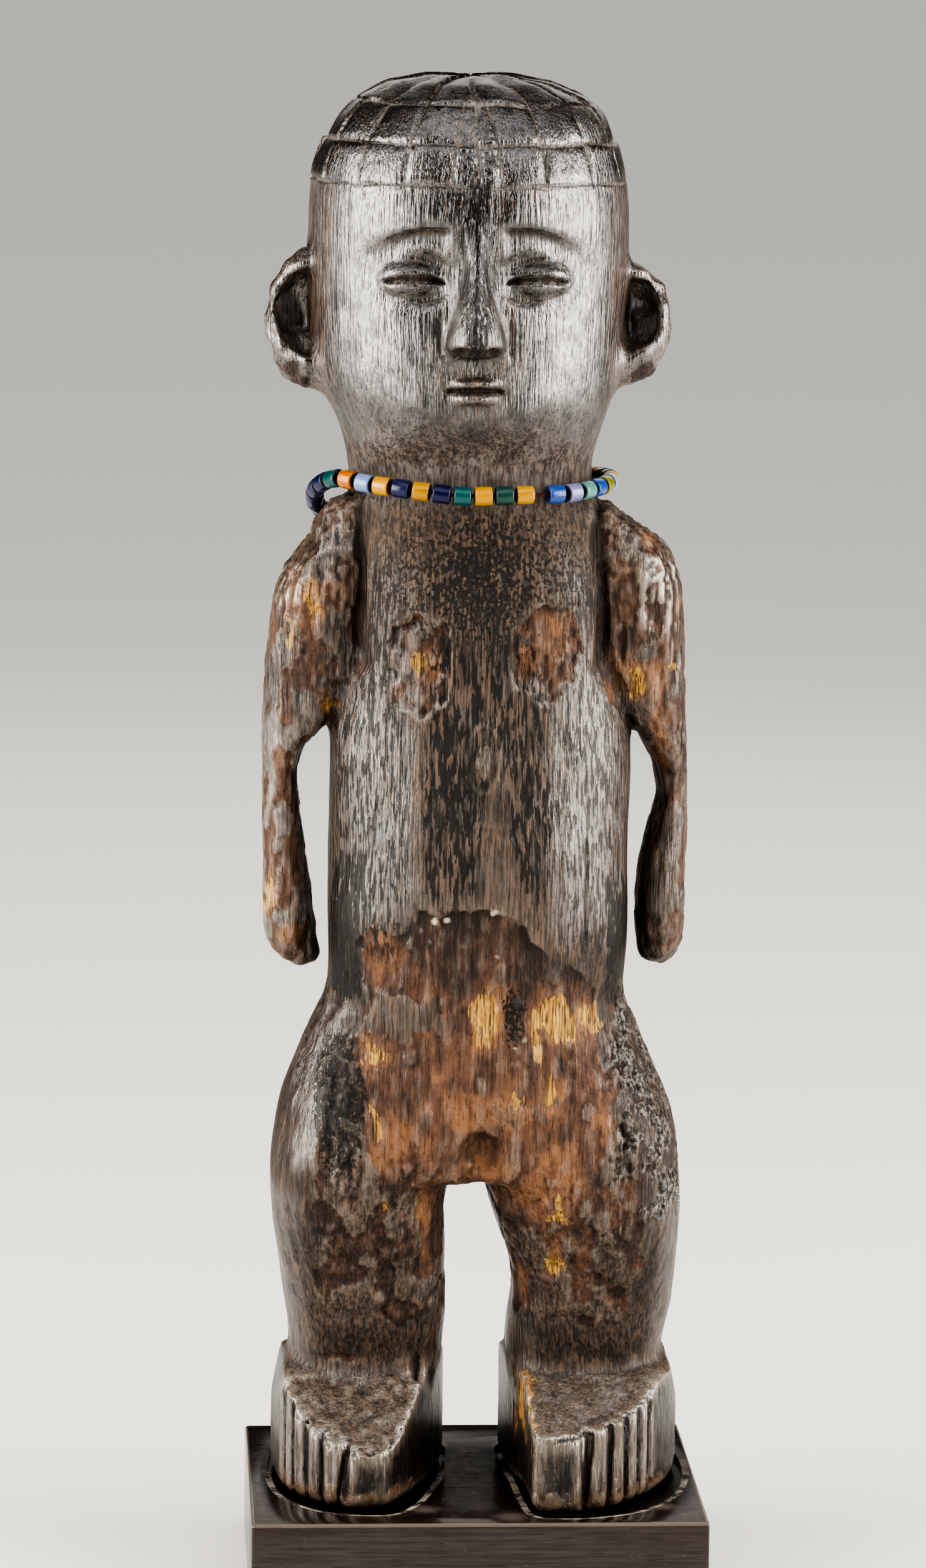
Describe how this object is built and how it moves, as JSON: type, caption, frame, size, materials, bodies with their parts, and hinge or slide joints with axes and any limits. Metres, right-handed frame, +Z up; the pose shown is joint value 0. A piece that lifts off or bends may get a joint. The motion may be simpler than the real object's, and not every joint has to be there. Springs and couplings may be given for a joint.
{
  "type": "carved wooden female figure",
  "caption": "Standing carved wooden female figure with cup-shaped ears and engraved hair, wearing a glass bead necklace, on a low dark base.",
  "frame": {"origin": "middle of the base's underside", "axes": "+Z up, the figure faces -Y, +X to the viewer's right"},
  "size_m": [0.128, 0.106, 0.4296],
  "materials": {
    "carved_wood": "dark worn patina, satin to glossy, raw wood where worn",
    "base_wood": "dark stained and polished",
    "thread": "twisted cotton",
    "glass_yellow": "opaque drawn glass, glossy, worn ends",
    "glass_orange": "opaque drawn glass, glossy, worn ends",
    "glass_navy": "opaque drawn glass, glossy, worn ends",
    "glass_teal": "opaque drawn glass, glossy, worn ends",
    "glass_dark_teal": "opaque drawn glass, glossy, worn ends",
    "glass_pale_teal": "opaque drawn glass, glossy, worn ends",
    "glass_blue": "opaque drawn glass, glossy, worn ends",
    "glass_pale_blue": "opaque drawn glass, glossy, worn ends",
    "glass_lavender": "opaque drawn glass, glossy, worn ends",
    "glass_olive": "opaque drawn glass, glossy, worn ends"
  },
  "bodies": {
    "root": {"figure": "carved_wood", "base": "base_wood", "necklace_thread": "thread", "bead_01": "glass_teal", "bead_02": "glass_yellow", "bead_03": "glass_dark_teal", "bead_04": "glass_yellow", "bead_05": "glass_blue", "bead_06": "glass_lavender", "bead_07": "glass_pale_teal", "bead_08": "glass_blue", "bead_09": "glass_olive", "bead_10": "glass_pale_blue", "bead_11": "glass_yellow", "bead_12": "glass_teal", "bead_13": "glass_navy", "bead_14": "glass_yellow", "bead_15": "glass_blue", "bead_16": "glass_teal", "bead_17": "glass_yellow", "bead_18": "glass_navy", "bead_19": "glass_pale_blue", "bead_20": "glass_yellow", "bead_21": "glass_dark_teal", "bead_22": "glass_navy", "bead_23": "glass_yellow", "bead_24": "glass_teal", "bead_25": "glass_navy", "bead_26": "glass_navy", "bead_27": "glass_blue", "bead_28": "glass_navy", "bead_29": "glass_navy", "bead_30": "glass_navy", "bead_31": "glass_navy", "bead_32": "glass_navy", "bead_33": "glass_navy", "bead_34": "glass_navy", "bead_35": "glass_teal", "bead_36": "glass_orange", "bead_37": "glass_pale_blue", "bead_38": "glass_yellow", "bead_39": "glass_navy", "bead_40": "glass_yellow", "bead_41": "glass_navy"}
  },
  "joints": []
}
